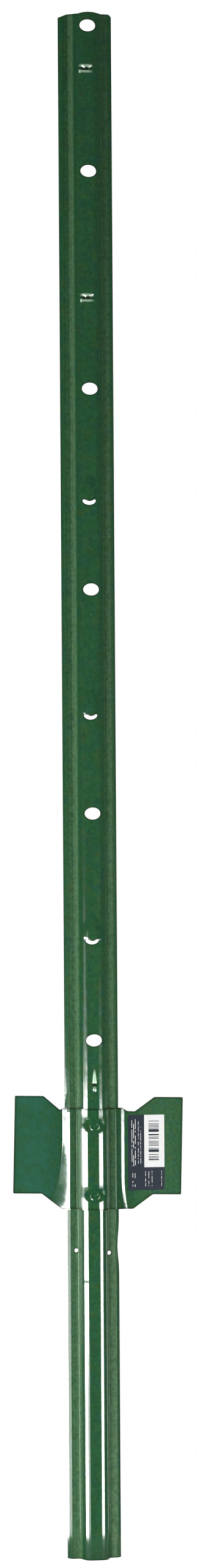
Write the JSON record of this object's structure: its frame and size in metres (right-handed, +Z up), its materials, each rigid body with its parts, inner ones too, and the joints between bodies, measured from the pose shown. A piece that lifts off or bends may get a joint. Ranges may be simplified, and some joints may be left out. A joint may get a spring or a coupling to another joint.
{
  "type": "fence post",
  "caption": "Light green steel U-channel fence post with oval tie holes, pressed wire tabs and a winged anchor plate near its lower end.",
  "frame": {"origin": "middle of the post's lower end: half way across the channel and half way through its depth", "axes": "+Z up along the post to its upper end, -Y out of the front of the web, +X to the right seen from the front"},
  "size_m": [0.1358, 0.0202, 1.2192],
  "materials": {
    "post_paint": "glossy dark green paint",
    "plate_paint": "glossy dark green paint",
    "rivet_paint": "glossy dark green paint",
    "sticker": "smooth coated print"
  },
  "bodies": {
    "root": {"post": "post_paint", "anchor_plate": "plate_paint", "upper_rivet": "rivet_paint", "lower_rivet": "rivet_paint", "label": "sticker"}
  },
  "joints": []
}
